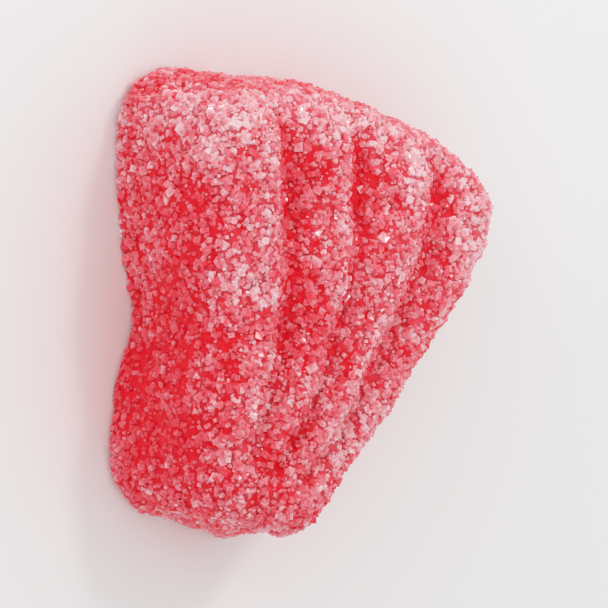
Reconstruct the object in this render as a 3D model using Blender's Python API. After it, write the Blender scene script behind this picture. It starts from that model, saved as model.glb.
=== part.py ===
"""Sour gummy wedge: a moulded jelly sweet shaped like a slice of fruit and rolled in sour sugar.

Units are metres and +Z is up. The wedge lies on its flat back, as it cools in its mould, with the
ribbed face up. The origin is on the back, under the middle of the whole. X runs across the wedge,
and +Y runs from its blunt tip to its curved rim.

The jelly is a loft through unlike rings. Each ring is one outline of the wedge at its own height:
the flat back, the small edge round it, the drafted wall, the soft shoulder, and then ever smaller
outlines up to the middle of the ribbed face. The largest sugar crystals are fused on.
"""

import bmesh
import bpy
import numpy as np
from mathutils import Euler, Matrix, Vector

MM = 0.001

# Plan of the wedge, measured over the jelly at its back.
LENGTH = 32.4 * MM  # blunt tip to the middle of the curved rim
RIM_WIDTH = 30.0 * MM  # across the two rim corners, before they are rounded
TIP_WIDTH = 11.3 * MM  # across the blunt tip, before its corners are rounded
RIM_RISE = 4.2 * MM  # how far the rim's arc stands past its corners
TIP_RISE = 0.5 * MM  # the same for the nearly straight tip
CORNER_POWER = 10.0  # how tightly the corners are rounded: higher is sharper
LEAST_REACH = 0.5 * MM  # no edge is taken to be nearer than this, where the outlines get small

# Section through the wall.
THICKNESS = 12.4 * MM
DRAFT = 0.65 * MM  # how much smaller the moulded face is than the back, on each side
SHOULDER_DROP = 4.0 * MM  # height of the soft edge between the wall and the ribbed face
SHOULDER_RUN, RIM_SHOULDER_RUN = 3.9 * MM, 6.0 * MM  # its width at the sides, and at the rim
RIM_SHOULDER_TURN = (0.2, 0.9)  # between these sines of the angle it widens to that of the rim
BACK_EDGE_RADIUS = 0.6 * MM
CROWN = 0.7 * MM  # the ribbed face swells by this much in the middle

# Ribs: three grooves fan out from a point beyond the tip and leave four ribs.
GROOVE_SHARES = (0.138, 0.394, 0.69)  # where they would meet the rim unbowed, as shares of its width
FAN_CENTRE_Y = -23.2 * MM
GROOVE_BOW, GROOVE_BOW_Y = 3.6 * MM, 3.4 * MM  # how far they bow to the right at most, and where
GROOVE_DEPTH = 1.3 * MM
GROOVE_FLOOR = 0.05  # the share of the way from a groove to the crest on its left that is still floor
RIB_POWER = 1.9  # how a rib rises to its crest from the groove on its left: 1 is straight
RIB_CREST_YS = (-10.0 * MM, 12.0 * MM)
RIB_CRESTS = (0.40, 0.66)  # where the crest is at these two places, as a share of the rib's width
GROOVE_FADE_Y = (-15.0 * MM, -6.0 * MM)  # no groove before the first, full depth past the second
GROOVE_SHOULDER = (0.45, 0.95)  # the same on the shoulder, by how far its surface faces up

# Unevenness of a soft sweet: a waist pressed into the left side, a bulge between it and the tip,
# and slow swells all over.
WAIST_DEPTH, WAIST_Y = 1.4 * MM, -4.5 * MM
WAIST_LENGTHS = (2.6 * MM, 5.5 * MM)  # how far it reaches towards the tip, and towards the rim
BULGE_HEIGHT, BULGE_Y, BULGE_LENGTH = 0.6 * MM, -12.0 * MM, 2.6 * MM
SIDE_BLEND = 1.5 * MM
SIDE_FADE = 0.5  # the share of the waist and the bulge that is lost at the height of the face
SWELL_HEIGHT, SWELL_LENGTH = 0.22 * MM, 9.0 * MM
BUMP_HEIGHT, BUMP_LENGTH = 0.085 * MM, 2.4 * MM
WAVE_COUNT, WAVE_SEED = 18, 124

# Mesh of the jelly.
SEGMENTS = 92
BACK_RINGS, EDGE_RINGS, WALL_RINGS, SHOULDER_RINGS, FACE_RINGS = 1, 2, 4, 6, 18
RINGS = BACK_RINGS + EDGE_RINGS + WALL_RINGS + SHOULDER_RINGS + FACE_RINGS

# Sugar: only the largest crystals are solids, each a small lopsided block set into the surface.
CRYSTAL_COUNT = 150
CRYSTAL_SIZES = (0.9 * MM, 0.6 * MM)  # the first one placed, and the last
CRYSTAL_SPACING = 1.9 * MM
CRYSTAL_SUNK = 0.12  # the share of its size by which a crystal's middle is below the surface
CRYSTAL_UNEVEN = 0.13
CRYSTAL_FLOOR_GAP = 1.1 * MM  # no crystal's middle is closer to the back's plane
CRYSTAL_SEED = 7

JELLY_COLOUR = (0.72, 0.03, 0.05, 1.0)
SUGARED_ROUGHNESS = 0.55


def smooth_step(start, end, value):
    """0 up to start, 1 past end, and a soft S between them."""
    share = np.clip((value - start) / (end - start), 0.0, 1.0)
    return share * share * (3.0 - 2.0 * share)


def slow_waves(points, length, seed):
    """A random swell of about unit height: sines of one wavelength that run all ways, added up."""
    rng = np.random.default_rng(seed)
    ways = rng.normal(size=(WAVE_COUNT, 3))
    ways *= (2.0 * np.pi / length) / np.linalg.norm(ways, axis=1, keepdims=True)
    starts = rng.uniform(0.0, 2.0 * np.pi, WAVE_COUNT)
    return np.sin(points @ ways.T + starts).sum(axis=1) / np.sqrt(WAVE_COUNT / 2.0)


def edge_distance(angle, inset):
    """How far the wedge's edge is from its middle, looking along angle, for an outline drawn inset
    inside the full one. Each of the four edges gives a distance, and a power mean of the four
    follows the nearest one and rounds the corner where two are alike."""
    across, along = np.cos(angle), np.sin(angle)
    corner_y = LENGTH / 2 - RIM_RISE
    lean = np.arctan2((RIM_WIDTH - TIP_WIDTH) / 2, corner_y + LENGTH / 2)
    total = np.zeros_like(angle)
    for side in (-1, 1):
        reach = RIM_WIDTH / 2 * np.cos(lean) - corner_y * np.sin(lean) - inset
        facing = side * across * np.cos(lean) - along * np.sin(lean)
        total += (np.maximum(facing, 0.0) / reach) ** CORNER_POWER
    for half_width, rise, end in ((RIM_WIDTH / 2, RIM_RISE, 1), (TIP_WIDTH / 2, TIP_RISE, -1)):
        radius = (half_width**2 + rise**2) / (2 * rise)
        centre = end * (LENGTH / 2 - radius)
        inside = (radius - inset) ** 2 - (centre * across) ** 2
        reach = centre * along + np.sqrt(np.maximum(inside, 0.0))
        total += (1.0 / np.maximum(reach, LEAST_REACH)) ** CORNER_POWER
    return total ** (-1.0 / CORNER_POWER)


def section():
    """One row for each ring, from the middle of the back to the middle of the ribbed face: the
    ring's inset, the share of the shoulder's run to add to it, its height, how far its surface
    faces up (0 wall, 1 face), and its size as a share of the outline there."""
    rows = []
    for k in range(BACK_RINGS):
        rows.append((BACK_EDGE_RADIUS, 0.0, 0.0, 0.0, k / BACK_RINGS))
    for turn in np.linspace(0.0, np.pi / 2, EDGE_RINGS, endpoint=False):
        inset, height = 1.0 - np.sin(turn), 1.0 - np.cos(turn)
        rows.append((BACK_EDGE_RADIUS * inset, 0.0, BACK_EDGE_RADIUS * height, 0.0, 1.0))
    wall_top = THICKNESS - CROWN - SHOULDER_DROP
    for share in np.linspace(0.0, 1.0, WALL_RINGS, endpoint=False):
        height = BACK_EDGE_RADIUS + (wall_top - BACK_EDGE_RADIUS) * share
        rows.append((DRAFT * share, 0.0, height, 0.0, 1.0))
    for turn in np.linspace(0.0, np.pi / 2, SHOULDER_RINGS, endpoint=False):
        up = np.sin(turn)
        rows.append((DRAFT, 1.0 - np.cos(turn), wall_top + SHOULDER_DROP * up, up, 1.0))
    for size in np.linspace(1.0, 0.0, FACE_RINGS + 1):
        rows.append((DRAFT, 1.0, THICKNESS - CROWN * size**2, 1.0, size))
    return np.array(rows)


def groove_depth(x, y, facing_up):
    """How deep the ribbed face lies below the ribs' crests. Across the fan a rib rises gently from
    the groove on its left to its crest, and drops steeply into the groove on its right. Along it
    the grooves fade out towards the tip and the wall."""
    bow = GROOVE_BOW * (1.0 - (2.0 * (y - GROOVE_BOW_Y) / LENGTH) ** 2)
    fan = np.arctan2(x - bow, y - FAN_CENTRE_Y)
    grooves = np.arctan2((np.array(GROOVE_SHARES) - 0.5) * RIM_WIDTH, LENGTH / 2 - FAN_CENTRE_Y)
    rib = np.mean(np.diff(grooves))
    bounds = np.concatenate([[grooves[0] - rib], grooves, [grooves[-1] + rib]])
    number = np.interp(fan, bounds, np.arange(len(bounds)))
    share = number % 1.0
    crest = np.interp(y, RIB_CREST_YS, RIB_CRESTS)
    rise = np.maximum(1.0 - share / crest, 0.0) ** RIB_POWER
    drop = 1.0 - smooth_step(GROOVE_FLOOR, 1.0, (1.0 - share) / (1.0 - crest))
    hollow = np.where(share < crest, rise, drop)
    outer = (number < crest) | (number > len(grooves) + crest)
    along = smooth_step(*GROOVE_FADE_Y, y) * smooth_step(*GROOVE_SHOULDER, facing_up)
    return GROOVE_DEPTH * np.where(outer, 0.0, hollow) * along


def side_inset(x, y, height, facing_up):
    """The waist and the bulge of the left side: deepest at the back, and none on the face."""
    left = 1.0 / (1.0 + np.exp(x / SIDE_BLEND))
    waist_length = np.where(y < WAIST_Y, *WAIST_LENGTHS)
    waist = WAIST_DEPTH * np.exp(-(((y - WAIST_Y) / waist_length) ** 2))
    bulge = BULGE_HEIGHT * np.exp(-(((y - BULGE_Y) / BULGE_LENGTH) ** 2))
    return left * (waist - bulge) * (1.0 - facing_up) * (1.0 - SIDE_FADE * height / THICKNESS)


def wedge_points(angle, ring):
    """Points on the jelly for angles round it and ring numbers counted from the middle of the
    back, which may be fractions."""
    inset, shoulder, height, facing_up, size = (
        np.interp(ring, np.arange(RINGS + 1), column) for column in section().T
    )
    to_rim = smooth_step(*RIM_SHOULDER_TURN, np.sin(angle))
    run = SHOULDER_RUN + (RIM_SHOULDER_RUN - SHOULDER_RUN) * to_rim
    reach = edge_distance(angle, inset + shoulder * run) * size
    x, y = reach * np.cos(angle), reach * np.sin(angle)
    off_back = smooth_step(0.0, BACK_EDGE_RADIUS, height)
    swell = SWELL_HEIGHT * slow_waves(np.stack([x, y, height], 1), SWELL_LENGTH, WAVE_SEED)
    swell += BUMP_HEIGHT * slow_waves(np.stack([x, y, height], 1), BUMP_LENGTH, WAVE_SEED + 1)
    raised = swell * off_back - groove_depth(x, y, facing_up)
    outward = np.cos(facing_up * np.pi / 2) * (size == 1.0)
    reach += raised * outward - side_inset(x, y, height, facing_up) * size
    height = height + raised * np.sin(facing_up * np.pi / 2)
    return np.stack([reach * np.cos(angle), reach * np.sin(angle), height], axis=1)


def corner_number(ring, segment):
    """The number of a loft point. The first and the last ring are one point each."""
    if ring == 0:
        return 0
    if ring == RINGS:
        return 1 + (RINGS - 1) * SEGMENTS
    return 1 + (ring - 1) * SEGMENTS + segment % SEGMENTS


def make_jelly():
    """The jelly: rings of points, joined by faces of four corners, or three round both middles."""
    angle = np.tile(np.arange(SEGMENTS) * 2.0 * np.pi / SEGMENTS, RINGS - 1)
    ring = np.repeat(np.arange(1, RINGS), SEGMENTS)
    points = wedge_points(np.concatenate([[0.0], angle, [0.0]]), np.concatenate([[0], ring, [RINGS]]))
    faces = []
    for low in range(RINGS):
        for here in range(SEGMENTS):
            corners = [corner_number(low, here), corner_number(low, here + 1)]
            corners += [corner_number(low + 1, here + 1), corner_number(low + 1, here)]
            faces.append(list(dict.fromkeys(corners)))
    mesh = bpy.data.meshes.new("gummy_wedge")
    mesh.from_pydata(points.tolist(), [], faces)
    return bpy.data.objects.new("gummy_wedge", mesh)


def crystal_places(mesh, rng):
    """Middles and outward directions of the crystals: half the faces that are clear of the back,
    drawn at random by area, each kept if it is clear of the crystals already placed."""
    faces = [f for f in mesh.polygons if f.center.z > CRYSTAL_FLOOR_GAP]
    area = np.array([f.area for f in faces])
    drawn = rng.choice(len(faces), size=len(faces) // 2, replace=False, p=area / area.sum())
    places = []
    for k in drawn:
        centre = faces[k].center
        if all((centre - other).length > CRYSTAL_SPACING for other, _ in places):
            places.append((centre.copy(), faces[k].normal.copy()))
        if len(places) == CRYSTAL_COUNT:
            break
    return places


def make_crystal(name, centre, outward, size, rng):
    """A cube of sugar with its corners moved a little, turned at random and set into the jelly."""
    bm = bmesh.new()
    bmesh.ops.create_cube(bm, size=size)
    for corner in bm.verts:
        corner.co += Vector(rng.uniform(-1.0, 1.0, 3)) * CRYSTAL_UNEVEN * size
    bmesh.ops.triangulate(bm, faces=bm.faces)
    mesh = bpy.data.meshes.new(name)
    bm.to_mesh(mesh)
    bm.free()
    crystal = bpy.data.objects.new(name, mesh)
    crystal.location = centre - outward * CRYSTAL_SUNK * size
    crystal.rotation_euler = Euler(rng.uniform(0.0, 2.0 * np.pi, 3))
    return crystal


def fuse(thing, collection):
    """One Boolean union of an object with all that is in a collection, applied to the object's
    mesh. The collection is then emptied and removed."""
    union = thing.modifiers.new("union", "BOOLEAN")
    union.operation = "UNION"
    union.operand_type = "COLLECTION"
    union.collection = collection
    evaluated = thing.evaluated_get(bpy.context.evaluated_depsgraph_get())
    mesh = bpy.data.meshes.new_from_object(evaluated)
    thing.modifiers.clear()
    thing.data = mesh
    for extra in list(collection.objects):
        bpy.data.objects.remove(extra, do_unlink=True)
    bpy.data.collections.remove(collection)


def centre_in_plan(mesh):
    """Puts the origin under the middle of the whole."""
    points = np.array([corner.co for corner in mesh.vertices])
    middle = (points.min(axis=0) + points.max(axis=0)) / 2
    mesh.transform(Matrix.Translation((-middle[0], -middle[1], 0.0)))


def sugared_jelly():
    """The finish of the whole: red jelly under a dull coat of sugar."""
    material = bpy.data.materials.new("sugared_jelly")
    material.use_nodes = True
    shader = material.node_tree.nodes["Principled BSDF"]
    shader.inputs["Base Color"].default_value = JELLY_COLOUR
    shader.inputs["Roughness"].default_value = SUGARED_ROUGHNESS
    shader.inputs["Metallic"].default_value = 0.0
    return material


def main():
    for old in list(bpy.data.objects):
        bpy.data.objects.remove(old, do_unlink=True)
    sweet = bpy.data.collections.new("sour_gummy_wedge")
    sugar = bpy.data.collections.new("sugar_crystals")
    bpy.context.scene.collection.children.link(sweet)
    bpy.context.scene.collection.children.link(sugar)

    jelly = make_jelly()
    sweet.objects.link(jelly)

    rng = np.random.default_rng(CRYSTAL_SEED)
    places = crystal_places(jelly.data, rng)
    sizes = np.linspace(*CRYSTAL_SIZES, len(places))
    for k, (centre, outward) in enumerate(places):
        sugar.objects.link(make_crystal(f"crystal_{k}", centre, outward, sizes[k], rng))
    fuse(jelly, sugar)

    centre_in_plan(jelly.data)
    jelly.data.materials.clear()
    jelly.data.materials.append(sugared_jelly())
    print("crystals", len(places), "triangles", sum(len(f.vertices) - 2 for f in jelly.data.polygons))


main()
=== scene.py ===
# %% [markdown]
# # A sour gummy wedge
# This lesson dresses one sweet: a red jelly wedge that was cast in a mould and then rolled in sour
# sugar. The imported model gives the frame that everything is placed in. It holds one solid, the
# wedge, which lies on its flat back with the ribbed face up. We build three things round it: the
# jelly as one finely meshed surface, the sugar as many thousands of small crystals, and a plain
# studio. All lengths are in metres, so a millimetre has a name of its own.

import bpy
import numpy as np
from mathutils import Matrix, Vector


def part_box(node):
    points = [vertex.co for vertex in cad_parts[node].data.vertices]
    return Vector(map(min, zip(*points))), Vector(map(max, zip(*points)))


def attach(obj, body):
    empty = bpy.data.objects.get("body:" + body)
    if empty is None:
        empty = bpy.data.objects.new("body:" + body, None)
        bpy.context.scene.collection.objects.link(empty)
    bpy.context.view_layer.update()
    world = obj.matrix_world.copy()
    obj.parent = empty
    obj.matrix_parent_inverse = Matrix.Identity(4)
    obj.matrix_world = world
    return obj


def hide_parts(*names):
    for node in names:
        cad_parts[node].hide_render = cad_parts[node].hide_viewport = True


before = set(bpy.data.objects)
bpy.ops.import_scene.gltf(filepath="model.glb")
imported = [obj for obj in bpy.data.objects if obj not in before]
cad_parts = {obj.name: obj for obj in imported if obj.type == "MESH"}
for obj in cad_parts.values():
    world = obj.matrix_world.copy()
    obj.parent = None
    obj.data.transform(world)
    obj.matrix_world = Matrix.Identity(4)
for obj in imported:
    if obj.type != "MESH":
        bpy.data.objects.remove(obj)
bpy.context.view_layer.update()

MM = 0.001
WEDGE = "gummy_wedge"

box_low, box_high = (np.array(corner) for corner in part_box(WEDGE))
print("the wedge measures, in mm:", np.round((box_high - box_low) / MM, 2))

# %% [markdown]
# ## The outline of the wedge
# Seen from above, the real sweet has four edges: two straight sides that lean together, a long arc
# at the rim, and a short, nearly straight tip. The corners between them are soft, because jelly
# fills a sharp corner badly. One could draw this as a curve with four arcs and four fillets. A
# formula is simpler here: look out from the middle along an angle, ask each edge how far away it
# is, and join the four answers by a power sum. It follows the nearest edge, and where two edges
# are about as near it cuts the corner smoothly. The same formula also draws the smaller outlines
# higher up the wedge.

# %% Sizes of the outline
LENGTH = 32.4 * MM  # blunt tip to the middle of the curved rim
RIM_WIDTH = 30.0 * MM  # across the two rim corners, before they are rounded
TIP_WIDTH = 11.3 * MM  # across the blunt tip, before its corners are rounded
RIM_RISE = 4.2 * MM  # how far the rim's arc stands past its corners
TIP_RISE = 0.5 * MM  # the same for the tip
CORNER_POWER = 10.0  # how tightly the corners are rounded: higher is sharper
LEAST_REACH = 0.5 * MM  # no edge is taken to be nearer than this, where the outlines get small


# %% A soft step and a random swell
def smooth_step(start, end, value):
    """0 up to start, 1 past end, and 3 t^2 - 2 t^3 between them, t being the share of the way."""
    share = np.clip((value - start) / (end - start), 0.0, 1.0)
    return share * share * (3.0 - 2.0 * share)


WAVE_COUNT = 18


def slow_waves(points, length, seed):
    """A swell of about unit height: sines of one wavelength that run in random directions, added
    up. It is the same at one place in every piece, so pieces that share it fit together."""
    rng = np.random.default_rng(seed)
    ways = rng.normal(size=(WAVE_COUNT, 3))
    ways *= (2.0 * np.pi / length) / np.linalg.norm(ways, axis=1, keepdims=True)
    starts = rng.uniform(0.0, 2.0 * np.pi, WAVE_COUNT)
    return np.sin(points @ ways.T + starts).sum(axis=-1) / np.sqrt(WAVE_COUNT / 2.0)


# %% The outline as a distance from the middle
def edge_distance(angle, inset):
    """How far the edge is from the middle, looking along angle, for an outline drawn inset inside
    the full one: (sum of distance^-p)^(-1/p) over the four edges, p being CORNER_POWER."""
    across, along = np.cos(angle), np.sin(angle)
    corner_y = LENGTH / 2 - RIM_RISE
    lean = np.arctan2((RIM_WIDTH - TIP_WIDTH) / 2, corner_y + LENGTH / 2)
    total = np.zeros_like(angle)
    for side in (-1, 1):
        reach = RIM_WIDTH / 2 * np.cos(lean) - corner_y * np.sin(lean) - inset
        facing = side * across * np.cos(lean) - along * np.sin(lean)
        total += (np.maximum(facing, 0.0) / reach) ** CORNER_POWER
    for half_width, rise, end in ((RIM_WIDTH / 2, RIM_RISE, 1), (TIP_WIDTH / 2, TIP_RISE, -1)):
        radius = (half_width**2 + rise**2) / (2 * rise)
        centre = end * (LENGTH / 2 - radius)
        inside = (radius - inset) ** 2 - (centre * across) ** 2
        reach = centre * along + np.sqrt(np.maximum(inside, 0.0))
        total += (1.0 / np.maximum(reach, LEAST_REACH)) ** CORNER_POWER
    return total ** (-1.0 / CORNER_POWER)


# %% [markdown]
# ## The section, and the grid that carries it
# The wedge is a stack of outlines. Going up, they are the flat back, the small edge round it, the
# wall, which leans in a little so that the mould lets go, the soft shoulder, and then smaller and
# smaller outlines up to the middle of the face. So the whole jelly is one function of two
# parameters: the angle round it, and a ring number from the middle of the back to the middle of
# the face. A table holds what each ring needs.

# %% Sizes of the section
THICKNESS = 12.4 * MM
DRAFT = 0.65 * MM  # how much smaller the moulded face is than the back, on each side
SHOULDER_DROP = 4.0 * MM  # height of the soft edge between the wall and the face
SHOULDER_RUN, RIM_SHOULDER_RUN = 3.9 * MM, 6.0 * MM  # its width at the sides, and at the rim
RIM_SHOULDER_TURN = (0.2, 0.9)  # between these sines of the angle it widens to that of the rim
BACK_EDGE_RADIUS = 0.6 * MM
CROWN = 0.7 * MM  # the ribbed face swells by this much in the middle

BACK_RINGS, EDGE_RINGS, WALL_RINGS, SHOULDER_RINGS, FACE_RINGS = 40, 5, 34, 26, 76
ANGLES = 460


# %% The table of rings
def section():
    """One row for each ring: its inset, the share of the shoulder's run to add to that, its
    height, how far its surface faces up (0 wall, 1 face), and its size as a share of the outline
    there. The edge and the shoulder are quarter turns: 1 - cos and sin of 0 to 90 degrees."""
    rows = []
    for size in np.linspace(0.0, 1.0, BACK_RINGS, endpoint=False):
        rows.append((BACK_EDGE_RADIUS, 0.0, 0.0, 0.0, size))
    for turn in np.linspace(0.0, np.pi / 2, EDGE_RINGS, endpoint=False):
        inset, height = 1.0 - np.sin(turn), 1.0 - np.cos(turn)
        rows.append((BACK_EDGE_RADIUS * inset, 0.0, BACK_EDGE_RADIUS * height, 0.0, 1.0))
    wall_top = THICKNESS - CROWN - SHOULDER_DROP
    for share in np.linspace(0.0, 1.0, WALL_RINGS, endpoint=False):
        height = BACK_EDGE_RADIUS + (wall_top - BACK_EDGE_RADIUS) * share
        rows.append((DRAFT * share, 0.0, height, 0.0, 1.0))
    for turn in np.linspace(0.0, np.pi / 2, SHOULDER_RINGS, endpoint=False):
        up = np.sin(turn)
        rows.append((DRAFT, 1.0 - np.cos(turn), wall_top + SHOULDER_DROP * up, up, 1.0))
    for size in np.linspace(1.0, 0.0, FACE_RINGS + 1):
        rows.append((DRAFT, 1.0, THICKNESS - CROWN * size**2, 1.0, size))
    return np.array(rows)


rings = section()
print("rings from back to face:", len(rings))

# %% [markdown]
# ## Ribs, waist and bulge
# The mould presses three grooves into the face, like the skin between the segments of a fruit.
# They fan out from a point beyond the tip and leave four ribs. A rib rises gently from the groove
# on its left to its crest, and drops steeply into the groove on its right. The sweet is soft, so
# it is also uneven: this one has a waist pressed into its left side with a bulge below it, and
# slow swells all over.

# %% Sizes of the ribs and of the unevenness
GROOVE_SHARES = (0.138, 0.394, 0.69)  # where they would meet the rim unbowed, as shares of its width
FAN_CENTRE_Y = -23.2 * MM
GROOVE_BOW, GROOVE_BOW_Y = 3.6 * MM, 3.4 * MM  # how far they bow to the right at most, and where
GROOVE_DEPTH = 1.3 * MM
GROOVE_FLOOR = 0.05  # the share of the way from a groove to the crest on its left that is still floor
RIB_POWER = 1.9  # how a rib rises to its crest from the groove on its left: 1 is straight
RIB_CREST_YS = (-10.0 * MM, 12.0 * MM)
RIB_CRESTS = (0.40, 0.66)  # where the crest is at these two places, as a share of the rib's width
GROOVE_FADE_Y = (-15.0 * MM, -6.0 * MM)  # no groove before the first, full depth past the second
GROOVE_SHOULDER = (0.45, 0.95)  # the same on the shoulder, by how far its surface faces up

WAIST_DEPTH, WAIST_Y = 1.4 * MM, -4.5 * MM
WAIST_LENGTHS = (2.6 * MM, 5.5 * MM)  # how far it reaches towards the tip, and towards the rim
BULGE_HEIGHT, BULGE_Y, BULGE_LENGTH = 0.6 * MM, -12.0 * MM, 2.6 * MM
SIDE_BLEND = 1.5 * MM  # how softly the left side passes into the right one
SIDE_FADE = 0.5  # the share of the waist and the bulge that is lost at the height of the face
SWELLS = (  # height, length and seed of the slow swells and of the smaller bumps
    (0.22 * MM, 9.0 * MM, 124),
    (0.085 * MM, 2.4 * MM, 125),
)


# %% Ribs
def rib_place(x, y):
    """The way across a rib, 0 and 1 being the grooves at its left and right, where its crest is on
    that scale, and whether the place is outside the outer crests, where the face is plain. Angles
    are measured at the point that the grooves fan out from."""
    bow = GROOVE_BOW * (1.0 - (2.0 * (y - GROOVE_BOW_Y) / LENGTH) ** 2)
    fan = np.arctan2(x - bow, y - FAN_CENTRE_Y)
    grooves = np.arctan2((np.array(GROOVE_SHARES) - 0.5) * RIM_WIDTH, LENGTH / 2 - FAN_CENTRE_Y)
    rib = np.mean(np.diff(grooves))
    bounds = np.concatenate([[grooves[0] - rib], grooves, [grooves[-1] + rib]])
    number = np.interp(fan, bounds, np.arange(len(bounds)))
    crest = np.interp(y, RIB_CREST_YS, RIB_CRESTS)
    outer = (number < crest) | (number > len(grooves) + crest)
    return number % 1.0, crest, outer


def groove_share(x, y, facing_up):
    """0 on a crest and 1 in a groove: (1 - t / crest)^RIB_POWER up to the crest, t being the way
    across the rib, and a soft step past it, faded out towards the tip and down the shoulder."""
    share, crest, outer = rib_place(x, y)
    rise = np.maximum(1.0 - share / crest, 0.0) ** RIB_POWER
    drop = 1.0 - smooth_step(GROOVE_FLOOR, 1.0, (1.0 - share) / (1.0 - crest))
    hollow = np.where(share < crest, rise, drop)
    along = smooth_step(*GROOVE_FADE_Y, y) * smooth_step(*GROOVE_SHOULDER, facing_up)
    return np.where(outer, 0.0, hollow) * along


# %% Waist and bulge
def side_inset(x, y, height, facing_up):
    """How far the left side lies in: a bell curve for the waist, less one for the bulge."""
    left = 1.0 / (1.0 + np.exp(x / SIDE_BLEND))
    waist_length = np.where(y < WAIST_Y, *WAIST_LENGTHS)
    waist = WAIST_DEPTH * np.exp(-(((y - WAIST_Y) / waist_length) ** 2))
    bulge = BULGE_HEIGHT * np.exp(-(((y - BULGE_Y) / BULGE_LENGTH) ** 2))
    return left * (waist - bulge) * (1.0 - facing_up) * (1.0 - SIDE_FADE * height / THICKNESS)


# %% The whole jelly as one function
def wedge_points(angle, ring):
    """Points for whole grids of angles and ring numbers: the ring's outline at its height, moved
    out by the swells, down by the grooves and in by the waist."""
    inset, shoulder, height, facing_up, size = rings[ring].transpose(2, 0, 1)
    to_rim = smooth_step(*RIM_SHOULDER_TURN, np.sin(angle))
    run = SHOULDER_RUN + (RIM_SHOULDER_RUN - SHOULDER_RUN) * to_rim
    reach = edge_distance(angle, inset + shoulder * run) * size
    x, y = reach * np.cos(angle), reach * np.sin(angle)
    plain = np.stack([x, y, height], axis=-1)
    swell = sum(rise * slow_waves(plain, length, seed) for rise, length, seed in SWELLS)
    off_back = smooth_step(0.0, BACK_EDGE_RADIUS, height)
    raised = swell * off_back - GROOVE_DEPTH * groove_share(x, y, facing_up)
    outward = np.cos(facing_up * np.pi / 2) * (size == 1.0)
    reach += raised * outward - side_inset(x, y, height, facing_up) * size
    height = height + raised * np.sin(facing_up * np.pi / 2)
    return np.stack([reach * np.cos(angle), reach * np.sin(angle), height], axis=-1)


# %% Work out the grid
angle_grid, ring_grid = np.meshgrid(
    np.linspace(0.0, 2.0 * np.pi, ANGLES, endpoint=False), np.arange(len(rings))
)
surface = wedge_points(angle_grid, ring_grid)
print("grid of the jelly:", surface.shape[:2])

# %% [markdown]
# ## Putting the formula where the solid is
# The formula counts from its own middle, and the solid's origin is under the middle of the sweet
# with its sugar. Both have the same flat back, so the box round the back tells the difference. It
# is read from the solid, so the jelly stays in its place if the solid is ever made again.

# %% Match the flat back
BACK_TOLERANCE = 0.001 * MM  # a point of the solid this low belongs to its back

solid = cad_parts[WEDGE].data
solid_points = np.empty(len(solid.vertices) * 3)
solid.vertices.foreach_get("co", solid_points)
solid_points = solid_points.reshape(-1, 3)
solid_back = solid_points[solid_points[:, 2] < BACK_TOLERANCE]
own_back = surface[BACK_RINGS]
shift = (solid_back.min(axis=0) + solid_back.max(axis=0)) / 2
shift -= (own_back.min(axis=0) + own_back.max(axis=0)) / 2
shift[2] = 0.0
surface = surface + shift
print("the formula is moved by, in mm:", np.round(shift / MM, 3))

# %% [markdown]
# ## Leaving room for the sugar
# The solid's surface stands for the jelly and its coat together. The real jelly ends a little
# lower, and the crystals fill the rest. So the bare jelly is the same surface moved inwards along
# its normals. The normal of a grid is the cross product of its two directions, round and up. The
# jelly that shows between the crystals is not smooth either: sour powder cakes on it, which is a
# small relief of its own.

# %% Normals of a grid
TINY = 1e-12  # keeps a division by a length of nothing from failing, at the two poles


def grid_normals(grid):
    """Cross product of the steps round and up, as unit vectors that point out of the jelly."""
    round_step = np.roll(grid, -1, axis=1) - np.roll(grid, 1, axis=1)
    up_step = np.gradient(grid, axis=0)
    normals = np.cross(round_step, up_step)
    length = np.linalg.norm(normals, axis=-1, keepdims=True)
    normals = normals / np.maximum(length, TINY)
    normals[0] = (0.0, 0.0, -1.0)
    normals[-1] = (0.0, 0.0, 1.0)
    return normals


# %% The bare jelly
COAT = 0.09 * MM  # how far the bare jelly lies below the outside of the coat
CAKES = (  # height, length and seed of the relief of caked powder
    (0.045 * MM, 1.1 * MM, 134),
    (0.035 * MM, 0.55 * MM, 135),
)

outward = grid_normals(surface)
raised_by = -COAT
for height, length, seed in CAKES:
    raised_by = raised_by + height * slow_waves(surface, length, seed)[..., None]
bare = surface + outward * raised_by
print("the jelly lies below the coat by up to, in mm:", round(-float(raised_by.min()) / MM, 3))

# %% [markdown]
# ## Where the sugar lies
# A rolled sweet isn't coated evenly. Sugar sticks thickly round the shoulder of the rim, most at
# its left corner, and along the crest of each rib, where the sweet was pressed into it. A pale
# line runs round the edge of the back, partly sugar and partly a painted rim of light along the
# outline. Little gets into the grooves in the half near the rim, while towards the tip the grooves
# are painted a little whiter than their ribs, painted light that lifts the shade in them. The wall
# of the tip has a little less than the even coat, and the left side was rubbed nearly bare round
# the waist. Two slow slopes across the face, towards the right and towards the rim, are painted
# light and shade worked into the coat. One could paint all this on by hand. A formula keeps it
# tied to the shape: an even coat, one term for each place that differs, and swells of several
# lengths for the patches.
#
# All that follows uses this one map, from 0 for bare jelly to 1 for a full coat. It says how white
# the crystals are, how much powder lies between them and how close they lie. Even the red places
# of a real sweet are full of sugar, so bare jelly keeps about a third of the crystals, but clear
# ones.

# %% How much coat each place has more or less
EVEN_COAT = 0.48
LEAST_COAT = 0.02
RIM_COAT, CREST_COAT, CORNER_COAT = 0.42, 0.18, 0.40
# The edge value is partly sugar and partly painted light: the pale band low round the wall also
# stands in for a rim of light along the outline.
LEFT_COAT, TIP_COAT, EDGE_COAT_AND_RIM_LIGHT = -0.47, -0.14, 0.20
# Painted light and shade: the next two values make the coat, and with it the whiteness and the
# crowding of the crystals, slope slowly across the face, up towards the right and down towards the
# rim, standing in for how the light falls.
RIGHT_PAINTED_LIGHT, FAR_PAINTED_LIGHT = 0.03, -0.04  # added slowly towards the right, and towards the rim
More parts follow.
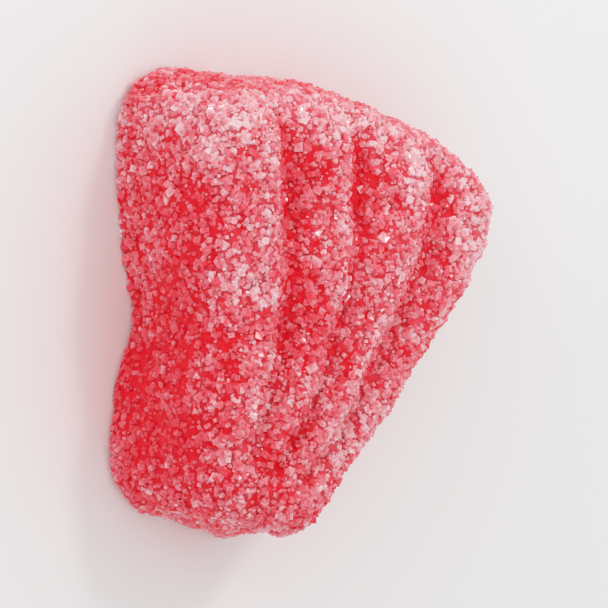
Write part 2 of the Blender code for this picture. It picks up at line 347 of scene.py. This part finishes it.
# In the grooves: the thin coat near the rim is real, but the extra coat towards the tip is painted
# light that lifts the shade in the grooves.
GROOVE_COATS_AND_PAINTED_LIGHT = (0.14, -0.40)  # in the grooves, at the two places in GROOVE_YS
GROOVE_POWER = 1.5  # higher: only the floor of a groove differs from its ribs
# The seeds of the three longer swells were picked out of many, for patches like the real ones.
PATCHES = (  # coat, length and seed of each swell
    (0.065, 9.0 * MM, 1139),
    (0.050, 6.5 * MM, 6485),
    (0.055, 3.4 * MM, 1813),
    (0.060, 2.1 * MM, 145),
    (0.080, 1.3 * MM, 146),
)

# %% Where these places are
RIM_TURN = (0.15, 0.6)  # no rim before the first sine of the angle, all of it past the second
RIM_Y = (3.0 * MM, 9.0 * MM)  # the same along the wedge
RIM_FACING = (0.6, 0.45)  # the rim's band by how far its surface faces up: its middle and width
CREST_WIDTH = 0.17  # as a share of the rib's width
CREST_FADE_Y = (-15.0 * MM, -8.0 * MM)  # no crest before the first, all of it past the second
GROOVE_YS = (-3.0 * MM, 9.0 * MM)
LEFT_X, LEFT_Z = (-1.0 * MM, -7.0 * MM), (12.0 * MM, 3.0 * MM)  # none at the first, all at the second
LEFT_Y = (-6.8 * MM, 8.6 * MM)  # middle and width
CORNER_SPOT = (-12.6 * MM, 11.8 * MM, 6.0 * MM)  # the middle of the thick spot at the left corner
CORNER_REACH = 2.7 * MM
TIP_TURN = (-0.6, -0.9)  # no tip before the first sine of the angle, all of it past the second
EDGE_Z = (0.4 * MM, 1.2 * MM)  # middle and width


# %% The sugar map
def bell(value, middle, width):
    """exp(-((value - middle) / width)^2)."""
    return np.exp(-(((value - middle) / width) ** 2))


def sugar_map(points, angle, facing_up):
    """0 bare to 1 fully coated: an even coat plus one term for each place that differs. Two slopes,
    part of the edge term and part of the groove term are painted light and shade.
    """
    x, y, z = np.moveaxis(points - shift, -1, 0)
    share, crest_place, _ = rib_place(x, y)
    along = smooth_step(*CREST_FADE_Y, y) * smooth_step(*GROOVE_SHOULDER, facing_up)
    crest = bell(share, crest_place, CREST_WIDTH) * along
    rim = smooth_step(*RIM_TURN, np.sin(angle)) * bell(facing_up, *RIM_FACING)
    rim = rim * smooth_step(*RIM_Y, y)
    # the grooves: bare near the rim, and whiter towards the tip, where it is painted light that lifts
    # their shade
    groove = groove_share(x, y, facing_up) ** GROOVE_POWER * np.interp(y, GROOVE_YS, GROOVE_COATS_AND_PAINTED_LIGHT)
    left = smooth_step(*LEFT_X, x) * smooth_step(*LEFT_Z, z) * bell(y, *LEFT_Y)
    corner = bell(np.linalg.norm(points - shift - CORNER_SPOT, axis=-1), 0.0, CORNER_REACH)
    tip = smooth_step(*TIP_TURN, np.sin(angle)) * (1.0 - facing_up)
    # partly a pale line of sugar round the back, partly a painted rim of light along the outline
    edge = bell(z, *EDGE_Z)
    coat = EVEN_COAT + RIM_COAT * rim + CREST_COAT * crest + groove
    coat = coat + LEFT_COAT * left + TIP_COAT * tip + EDGE_COAT_AND_RIM_LIGHT * edge + CORNER_COAT * corner
    # painted light and shade: slow slopes of coat towards the right and towards the rim
    coat = coat + RIGHT_PAINTED_LIGHT * x / (RIM_WIDTH / 2) + FAR_PAINTED_LIGHT * y / (LENGTH / 2)
    for patch_coat, length, seed in PATCHES:
        coat = coat + patch_coat * slow_waves(points, length, seed)
    return np.clip(coat, LEAST_COAT, 1.0)


facing_grid = rings[ring_grid][..., 3]
sugar_grid = sugar_map(surface, angle_grid, facing_grid)
print("mean coat:", round(float(sugar_grid.mean()), 3))

# %% [markdown]
# ## From arrays to a mesh
# Each cell of the grid is a face of four corners. The first and the last ring are single points,
# so there a fan of triangles closes the surface.


# %% Mesh helpers
def grid_faces(ring_count, angle_count):
    """Corner numbers of a closed grid whose first and last rings are one point each."""
    inner = np.arange(1, ring_count - 1)
    here = np.arange(angle_count)
    after = (here + 1) % angle_count

    def number(ring, place):
        """1 for the first pole, angle_count for each ring between, and the place in this one."""
        return 1 + (ring - 1) * angle_count + place

    low, high = inner[:-1, None], inner[1:, None]
    quads = [number(low, here), number(low, after), number(high, after), number(high, here)]
    quads = np.stack(np.broadcast_arrays(*quads), axis=-1).reshape(-1, 4)
    last = 1 + (ring_count - 2) * angle_count
    bottom = np.stack([np.zeros_like(here), number(1, after), number(1, here)], axis=-1)
    top = np.stack(
        [np.full_like(here, last), number(ring_count - 2, here), number(ring_count - 2, after)],
        axis=-1,
    )
    return quads, np.concatenate([bottom, top])


def flat_grid(grid):
    """The grid's values in the order of the mesh's points: one for each pole, all for the rest."""
    return np.concatenate([grid[:1, 0], grid[1:-1].reshape(-1, *grid.shape[2:]), grid[-1:, 0]])


def new_piece(name, points, faces, smooth):
    """A mesh object at the origin that stands for the wedge's solid and rides on its body."""
    mesh = bpy.data.meshes.new(name)
    mesh.from_pydata(points.tolist(), [], faces)
    mesh.polygons.foreach_set("use_smooth", np.full(len(mesh.polygons), smooth))
    mesh.update()
    piece = bpy.data.objects.new(name, mesh)
    bpy.context.scene.collection.objects.link(piece)
    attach(piece, "root")
    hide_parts(WEDGE)
    return piece


def add_values(piece, name, values):
    """One number for each point of the mesh, which a material can read by name."""
    layer = piece.data.attributes.new(name, "FLOAT", "POINT")
    layer.data.foreach_set("value", np.ascontiguousarray(values, dtype=np.float32))


# %% Build the jelly
quads, fans = grid_faces(len(rings), ANGLES)
jelly_points = np.clip(flat_grid(bare), box_low, box_high)
jelly = new_piece("jelly", jelly_points, quads.tolist() + fans.tolist(), True)
add_values(jelly, "coat", flat_grid(sugar_grid))
print("jelly faces:", len(quads) + len(fans))

# %% [markdown]
# ## Sugar crystals
# A sugar crystal is a small block, about as long as it is wide, with chipped corners. Under a
# millimetre across it needs few faces. There are four kinds. The coarse, middling and small ones
# have eight corners and the middles of six sides, which make 24 triangles, and the middles are
# pushed out a little for a rounder grain. The fine ones are plain blocks of 12 triangles. A
# particle system or instances could scatter them, but meshes at true size are real geometry, also
# for whoever takes the sweet elsewhere. Every crystal is the same block with its own stretch,
# chips, turn and place, so all of one kind are worked out at once as one array: crystals by
# corners by coordinates.

# %% The block, rounded and plain
BLOCK_WIDTH = 2.0  # from -1 to 1
CORNERS = np.array([(x, y, z) for x in (-1, 1) for y in (-1, 1) for z in (-1, 1)], float)
SIDES = np.array([(1, 0, 0), (-1, 0, 0), (0, 1, 0), (0, -1, 0), (0, 0, 1), (0, 0, -1)], float)


def block_triangles(with_middles):
    """For each side, its four corners in order: four triangles round the side's middle, or two
    that share a diagonal."""
    triangles = []
    for k, side in enumerate(SIDES):
        a = np.roll(side, 1)
        b = np.cross(side, a)
        ring = [c for c in range(len(CORNERS)) if CORNERS[c] @ side > 0.0]
        ring.sort(key=lambda c: np.arctan2(CORNERS[c] @ b, CORNERS[c] @ a))
        if with_middles:
            middle = len(CORNERS) + k
            triangles += [(middle, here, after) for here, after in zip(ring, ring[1:] + ring[:1])]
        else:
            triangles += [(ring[0], ring[1], ring[2]), (ring[0], ring[2], ring[3])]
    return np.array(triangles)


ROUNDED_BLOCK = (np.concatenate([CORNERS, SIDES]), block_triangles(True))
PLAIN_BLOCK = (CORNERS, block_triangles(False))
print("triangles of a crystal:", len(ROUNDED_BLOCK[1]), "or", len(PLAIN_BLOCK[1]))


# %% Random turns
def random_turns(count, rng):
    """One rotation matrix for each crystal, from a random quaternion w + xi + yj + zk of length 1."""
    quaternions = rng.normal(size=(4, count))
    w, x, y, z = quaternions / np.linalg.norm(quaternions, axis=0)
    rows = [
        [1 - 2 * (y * y + z * z), 2 * (x * y - z * w), 2 * (x * z + y * w)],
        [2 * (x * y + z * w), 1 - 2 * (x * x + z * z), 2 * (y * z - x * w)],
        [2 * (x * z - y * w), 2 * (y * z + x * w), 1 - 2 * (x * x + y * y)],
    ]
    return np.array(rows).transpose(2, 0, 1)


# %% The jelly's triangles and their areas
surface_points = flat_grid(surface)
surface_normals = flat_grid(outward)
surface_coat = flat_grid(sugar_grid)
triangles = np.concatenate([quads[:, [0, 1, 2]], quads[:, [0, 2, 3]], fans])
edges = surface_points[triangles[:, 1:]] - surface_points[triangles[:, :1]]
areas = np.linalg.norm(np.cross(edges[:, 0], edges[:, 1]), axis=-1) / 2
print("area of the wedge in square mm:", round(float(areas.sum()) / MM**2, 1))


# %% Random places on the jelly
LEAST_CROWD = 0.35  # the share of the crystals of a full coat that lie on bare jelly
TRIES = 6  # for each square of the wedge's surface as wide as the spacing


def places(spacing, crowding, rng):
    """Random places on the wedge: triangles drawn by area and a random point in each. Of those in
    one cell of a cube lattice only the first stays, which keeps the crystals apart. Each of these
    then carries one with a chance of crowding x (LEAST_CROWD + (1 - LEAST_CROWD) x coat)."""
    tries = int(areas.sum() / spacing**2 * TRIES)
    drawn = triangles[rng.choice(len(areas), size=tries, p=areas / areas.sum())]
    shares = rng.dirichlet((1.0, 1.0, 1.0), tries)
    at = np.einsum("nk,nkc->nc", shares, surface_points[drawn])
    cells = np.floor(at / spacing).astype(int)
    _, first = np.unique(cells, axis=0, return_index=True)
    coat = np.einsum("nk,nk->n", shares, surface_coat[drawn])
    kept = np.sort(first)
    crowd = (LEAST_CROWD + (1.0 - LEAST_CROWD) * coat[kept]) * crowding
    kept = kept[rng.uniform(size=len(kept)) < crowd]
    way = np.einsum("nk,nkc->nc", shares, surface_normals[drawn])
    return at[kept], way[kept], coat[kept]


# %% How the crystals differ
CHIPS = 0.12  # how far a corner may be off, as a share of the crystal
STRETCH = (0.8, 1.25)
ROUNDING = (1.05, 1.35)  # how far a side's middle stands out
TRIM = 0.86  # stretch and chips make a crystal larger than its named size, and this takes it back
SMALL_POWER = 1.6  # higher: more of a kind are near its least size
BEDDING = 0.6  # how far all of them are pressed in, as a share of the coat
MILK_BARE, MILK_COATED, MILK_SPREAD = -0.01, 0.75, 0.16  # on bare jelly, added by coat, at random
# Painted highlight: the corners of each crystal are whiter than the middles of its sides, standing in
# for the light that a clear crystal catches at its edges.
CORNER_HIGHLIGHT = (0.2, 1.0)  # least and most at a corner, and a side's middle has none


# %% All crystals of one kind
def crystals(name, block, sizes, spacing, crowding, lift, seed):
    """Joined crystals: (block + chips) x stretch x size, turned, and set at its place plus
    lift x size - BEDDING x COAT along the normal. No corner leaves the solid's box, so the lowest
    lie flat. Each crystal has one milk value, from clear to milky, and each of its corners a value
    for a painted highlight."""
    rng = np.random.default_rng(seed)
    at, way, coat = places(spacing, crowding, rng)
    count = len(at)
    block_points, block_faces = block
    shape = np.repeat(block_points[None], count, axis=0)
    side_middles = shape[:, len(CORNERS) :]
    side_middles *= rng.uniform(*ROUNDING, side_middles[..., :1].shape)
    shape += rng.uniform(-1.0, 1.0, shape.shape) * CHIPS * BLOCK_WIDTH
    size = sizes[0] + (sizes[1] - sizes[0]) * rng.uniform(size=count) ** SMALL_POWER
    shape *= rng.uniform(*STRETCH, (count, 1, 3)) * size[:, None, None] / BLOCK_WIDTH * TRIM
    shape = np.einsum("nij,nkj->nki", random_turns(count, rng), shape)
    middle = at + way * (size * lift - COAT * BEDDING)[:, None]
    corners = np.clip(middle[:, None] + shape, box_low, box_high)
    faces = block_faces[None] + len(block_points) * np.arange(count)[:, None, None]
    piece = new_piece(name, corners.reshape(-1, 3), faces.reshape(-1, 3).tolist(), False)
    milk = np.clip(MILK_BARE + MILK_COATED * coat + rng.normal(0.0, MILK_SPREAD, count), 0.0, 1.0)
    # painted highlight: a whiteness at each corner of a crystal, none at the middles of its sides
    corner_highlight = np.zeros((count, len(block_points)))
    corner_highlight[:, : len(CORNERS)] = rng.uniform(*CORNER_HIGHLIGHT, (count, len(CORNERS)))
    add_values(piece, "milk", np.repeat(milk, len(block_points)))
    add_values(piece, "corner_highlight", corner_highlight.ravel())
    print(name, "crystals:", count, "triangles:", faces.shape[0] * faces.shape[1])
    return piece


# %% Four kinds of sugar
KINDS = (  # name, block, least and greatest size, spacing, crowding, lift and seed
    ("coarse_sugar", ROUNDED_BLOCK, (0.58 * MM, 0.76 * MM), 1.2 * MM, 0.35, -0.28, 31),
    ("middling_sugar", ROUNDED_BLOCK, (0.38 * MM, 0.58 * MM), 0.48 * MM, 0.85, -0.24, 32),
    ("small_sugar", ROUNDED_BLOCK, (0.24 * MM, 0.38 * MM), 0.38 * MM, 0.62, -0.16, 34),
    ("fine_sugar", PLAIN_BLOCK, (0.14 * MM, 0.24 * MM), 0.32 * MM, 0.50, -0.10, 33),
)
sugar_pieces = [crystals(*kind) for kind in KINDS]

# %% [markdown]
# ## The finishes
# Red jelly lets red light in and soaks up the rest, so even the gaps between the crystals are a
# clear red. Subsurface scattering with a short reach does that. With a long reach the shade under
# the crystals mixes in and the gaps turn dark.
#
# Real sugar is clear and could be made of glass, but light that has to cross many small blocks of
# glass is slow and noisy to render. So a crystal is opaque and has the colour that it would show
# on the jelly. It is never plain white: the red shows through, most in clear crystals and least
# in milky ones. Each crystal's corners are also painted whiter than its sides, a painted highlight
# where a clear crystal's edges would catch the light. Jelly and sugar share one colour scale that
# runs from red over pink to nearly white, built once as a node group.

# %% The colour scale, as a node group
SPECKLE_DETAIL = 2.0
NOISE_MIDDLE = 0.5  # the mean of Blender's noise
SCALE = (  # whiteness, and its colour
    (0.00, (0.90, 0.004, 0.020)),
    (0.35, (0.91, 0.095, 0.145)),
    (0.65, (0.925, 0.29, 0.345)),
    (1.00, (0.95, 0.68, 0.72)),
)


def red_to_sugar():
    """Group: Whiteness + Speckle x (noise - 0.5), looked up in the colour scale, gives Color."""
    group = bpy.data.node_groups.new("red_to_sugar", "ShaderNodeTree")
    group.interface.new_socket("Whiteness", in_out="INPUT", socket_type="NodeSocketFloat")
    group.interface.new_socket("Speckle", in_out="INPUT", socket_type="NodeSocketFloat")
    group.interface.new_socket("Speckle Scale", in_out="INPUT", socket_type="NodeSocketFloat")
    group.interface.new_socket("Color", in_out="OUTPUT", socket_type="NodeSocketColor")
    nodes, links = group.nodes, group.links
    given = nodes.new("NodeGroupInput")
    out = nodes.new("NodeGroupOutput")
    where = nodes.new("ShaderNodeTexCoord")
    noise = nodes.new("ShaderNodeTexNoise")
    noise.inputs["Detail"].default_value = SPECKLE_DETAIL
    links.new(where.outputs["Object"], noise.inputs["Vector"])
    links.new(given.outputs["Speckle Scale"], noise.inputs["Scale"])
    centred = nodes.new("ShaderNodeMath")
    centred.operation = "SUBTRACT"
    centred.inputs[1].default_value = NOISE_MIDDLE
    links.new(noise.outputs["Fac"], centred.inputs[0])
    speckled = nodes.new("ShaderNodeMath")
    speckled.operation = "MULTIPLY_ADD"
    links.new(centred.outputs[0], speckled.inputs[0])
    links.new(given.outputs["Speckle"], speckled.inputs[1])
    links.new(given.outputs["Whiteness"], speckled.inputs[2])
    ramp = nodes.new("ShaderNodeValToRGB")
    points = ramp.color_ramp.elements
    points[0].position, points[1].position = SCALE[0][0], SCALE[-1][0]
    for place, _ in SCALE[1:-1]:
        points.new(place)
    for point, (_, colour) in zip(points, SCALE):
        point.color = (*colour, 1.0)
    links.new(speckled.outputs[0], ramp.inputs["Fac"])
    links.new(ramp.outputs["Color"], out.inputs["Color"])
    return group


scale_group = red_to_sugar()
print("the colour scale has", len(SCALE), "colours")


# %% Helpers for the finishes
def new_material(name):
    """A node material, with its nodes, its links and its Principled shader."""
    material = bpy.data.materials.new(name)
    material.use_nodes = True
    nodes = material.node_tree.nodes
    return material, nodes, material.node_tree.links, nodes["Principled BSDF"]


def set_inputs(node, values):
    """Writes named values on a node's own sockets."""
    for socket, value in values.items():
        node.inputs[socket].default_value = value


def attribute_value(nodes, name):
    """The output that reads one number for each point of the mesh."""
    attribute = nodes.new("ShaderNodeAttribute")
    attribute.attribute_name = name
    return attribute.outputs["Fac"]


def colour_from_scale(nodes, links, shader, whiteness, speckle):
    """Whiteness through the colour scale to the shader's Base Color."""
    colour = nodes.new("ShaderNodeGroup")
    colour.node_tree = scale_group
    set_inputs(colour, speckle)
    links.new(whiteness, colour.inputs["Whiteness"])
    links.new(colour.outputs["Color"], shader.inputs["Base Color"])


# %% Finish of the jelly
POWDER = {"From Min": 0.4, "From Max": 1.0, "To Min": 0.0, "To Max": 0.45}  # coat to whiteness
JELLY_SPECKLE = {"Speckle": 0.3, "Speckle Scale": 2600.0}  # the scale counts to the metre
JELLY_SHADER = {
    "Roughness": 0.45,
    "Specular IOR Level": 0.2,
    "Subsurface Weight": 0.6,
    "Subsurface Radius": (1.0, 0.12, 0.12),
    "Subsurface Scale": 0.3 * MM,
}


def jelly_finish():
    """Red under powder: the whiteness is none while the coat is below From Min, and grows evenly
    past it, up to To Max on a full coat."""
    material, nodes, links, shader = new_material("red_jelly")
    powder = nodes.new("ShaderNodeMapRange")
    set_inputs(powder, POWDER)
    links.new(attribute_value(nodes, "coat"), powder.inputs["Value"])
    colour_from_scale(nodes, links, shader, powder.outputs["Result"], JELLY_SPECKLE)
    set_inputs(shader, JELLY_SHADER)
    return material


jelly.data.materials.append(jelly_finish())
print("the jelly's finish:", jelly.data.materials[0].name)

# %% Finish of the sugar
SUGAR_SPECKLE = {"Speckle": 0.35, "Speckle Scale": 4000.0}
SUGAR_SHADER = {"Roughness": 0.18}
# how much whiter the painted highlight at a crystal's corners makes it
CORNER_HIGHLIGHT_WHITENESS = 0.38


def sugar_finish():
    """Clear to milky, with a painted highlight at the corners: the whiteness is milk plus a constant
    share of the value painted at each corner.
    """
    material, nodes, links, shader = new_material("sour_sugar")
    both = nodes.new("ShaderNodeMath")
    both.operation = "MULTIPLY_ADD"
    both.inputs[1].default_value = CORNER_HIGHLIGHT_WHITENESS
    # the painted highlight at the corners of the crystals
    links.new(attribute_value(nodes, "corner_highlight"), both.inputs[0])
    links.new(attribute_value(nodes, "milk"), both.inputs[2])
    colour_from_scale(nodes, links, shader, both.outputs[0], SUGAR_SPECKLE)
    set_inputs(shader, SUGAR_SHADER)
    return material


sugar = sugar_finish()
for piece in sugar_pieces:
    piece.data.materials.append(sugar)
print("pieces with the finish", sugar.name + ":", len(sugar_pieces))

# %% [markdown]
# ## The studio
# A pale floor under a pale, even sky gives the soft light of a white studio. One small lamp
# beyond the rim picks out facets of the crystals, and a broader one on the left lightens the wall
# on that side. The camera looks down at the wedge from its left, with a long lens, because the
# picture shows hardly any perspective.

# %% Floor
FLOOR_HALF = 1.2  # half its width, in metres like all lengths here
FLOOR_GAP = 0.01 * MM  # below the sweet
FLOOR_SHADER = {"Base Color": (0.92, 0.92, 0.92, 1.0), "Roughness": 0.7}


def studio_floor():
    """A square of four points just below the sweet."""
    corners = np.array([(-1, -1), (1, -1), (1, 1), (-1, 1)], float) * FLOOR_HALF
    points = np.column_stack([corners, np.full(len(corners), box_low[2] - FLOOR_GAP)])
    mesh = bpy.data.meshes.new("floor")
    mesh.from_pydata(points.tolist(), [], [(0, 1, 2, 3)])
    floor = bpy.data.objects.new("floor", mesh)
    bpy.context.scene.collection.objects.link(floor)
    material, _, _, shader = new_material("pale_floor")
    set_inputs(shader, FLOOR_SHADER)
    mesh.materials.append(material)


studio_floor()
print("width of the floor in metres:", 2 * FLOOR_HALF)

# %% Sky
SKY = {"Color": (1.0, 1.0, 1.0, 1.0), "Strength": 0.78}

world = bpy.data.worlds.new("studio")
bpy.context.scene.world = world
world.use_nodes = True
set_inputs(world.node_tree.nodes["Background"], SKY)
print("strength of the sky:", SKY["Strength"])

# %% Lamps
MIDDLE_HEIGHT = 6.25 * MM  # about half the thickness
middle_of_wedge = Vector(shift) + Vector((0.0, 0.0, MIDDLE_HEIGHT))


def lamp(name, direction, distance, size, power):
    """A square lamp, its size in metres and its power in watts, that faces the wedge."""
    light = bpy.data.lights.new(name, "AREA")
    light.size = size
    light.energy = power
    holder = bpy.data.objects.new(name, light)
    bpy.context.scene.collection.objects.link(holder)
    holder.location = middle_of_wedge + direction.normalized() * distance
    holder.rotation_euler = direction.to_track_quat("Z", "Y").to_euler()
    print(name, "stands off by, in mm:", round(distance / MM))


lamp("key_lamp", direction=Vector((0.1, 0.7, 0.9)), distance=0.2, size=0.03, power=0.055)
lamp("fill_lamp", direction=Vector((-0.9, 0.3, 0.35)), distance=0.25, size=0.1, power=0.05)

# %% Camera
CAMERA_RIGHT = Vector((0.7758, 0.2665, 0.5719)).normalized()  # where the picture's right points
CAMERA_UP = Vector((-0.2703, 0.9594, -0.0805)).normalized()  # and where its top points
CAMERA_BACK = CAMERA_RIGHT.cross(CAMERA_UP).normalized()
LENS = 400.0
SENSOR = 36.0
FRAME_WIDTH = 43.0 * MM  # of the picture, at the wedge
AIM_RIGHT, AIM_UP = 1.38 * MM, 0.57 * MM  # from the middle of the wedge to that of the picture

camera_data = bpy.data.cameras.new("camera")
camera_data.lens = LENS
camera_data.sensor_width = SENSOR
camera = bpy.data.objects.new("camera", camera_data)
bpy.context.scene.collection.objects.link(camera)
aim = middle_of_wedge + CAMERA_RIGHT * AIM_RIGHT + CAMERA_UP * AIM_UP
place = aim + CAMERA_BACK * FRAME_WIDTH * LENS / SENSOR
turn = Matrix((CAMERA_RIGHT, CAMERA_BACK.cross(CAMERA_RIGHT), CAMERA_BACK)).transposed()
camera.matrix_world = Matrix.Translation(place) @ turn.to_4x4()
bpy.context.scene.camera = camera
bpy.context.scene.view_settings.view_transform = "Standard"
print("camera distance in mm:", round((place - aim).length / MM, 1))
